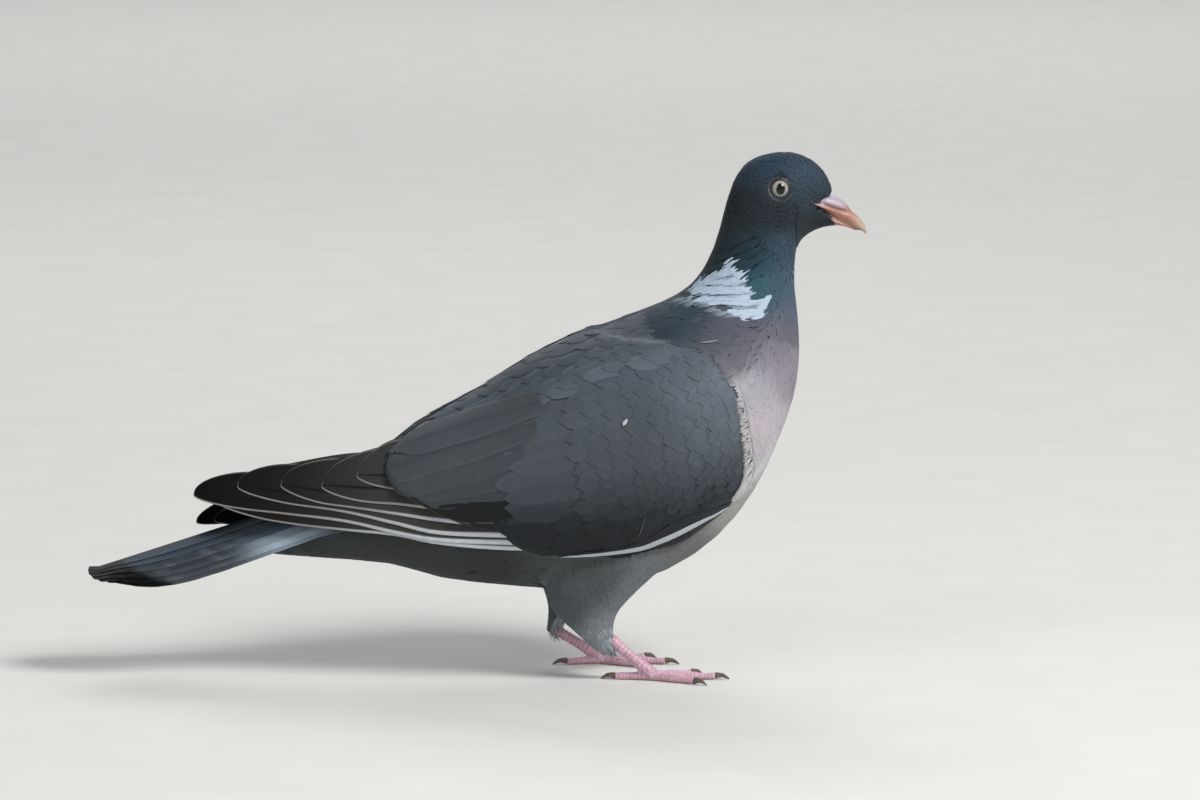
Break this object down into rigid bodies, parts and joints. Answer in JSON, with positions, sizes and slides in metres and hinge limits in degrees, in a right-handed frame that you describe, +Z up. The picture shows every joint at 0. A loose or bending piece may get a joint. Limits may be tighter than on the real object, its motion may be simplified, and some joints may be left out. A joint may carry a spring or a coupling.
{
  "type": "wood pigeon",
  "caption": "Life-size museum model of a standing wood pigeon with folded wings, in grey plumage with a white neck patch.",
  "frame": {"origin": "on the floor, under the middle of the bounding box", "axes": "+X towards the bill, +Y to the bird's left, +Z up"},
  "size_m": [0.351, 0.1136, 0.236],
  "materials": {
    "head_plumage": "soft close feathers",
    "neck_plumage": "soft feathers with a metallic sheen",
    "body_plumage": "soft matt feathers",
    "rump_plumage": "soft matt feathers",
    "wing_plumage": "smooth satin feathers",
    "flight_feather": "stiff satin feathers",
    "tail_feather": "stiff satin feathers",
    "bill": "satin horn",
    "cere": "matt powdery skin",
    "eye": "wet gloss",
    "leg": "scaly satin skin",
    "claw": "polished horn"
  },
  "bodies": {
    "root": {"bill_lower": "bill", "bill_upper": "bill", "cere": "cere", "claw_hallux_left": "claw", "claw_hallux_right": "claw", "claw_inner_toe_left": "claw", "claw_inner_toe_right": "claw", "claw_middle_toe_left": "claw", "claw_middle_toe_right": "claw", "claw_outer_toe_left": "claw", "claw_outer_toe_right": "claw", "eye_left": "eye", "eye_right": "eye", "foot_left": "leg", "foot_right": "leg", "head": "head_plumage", "neck": "neck_plumage", "primaries_left": "flight_feather", "primaries_right": "flight_feather", "rump": "rump_plumage", "tail": "tail_feather", "tarsus_left": "leg", "tarsus_right": "leg", "thigh_left": "body_plumage", "thigh_right": "body_plumage", "trunk": "body_plumage", "wing_left": "wing_plumage", "wing_right": "wing_plumage"}
  },
  "joints": []
}
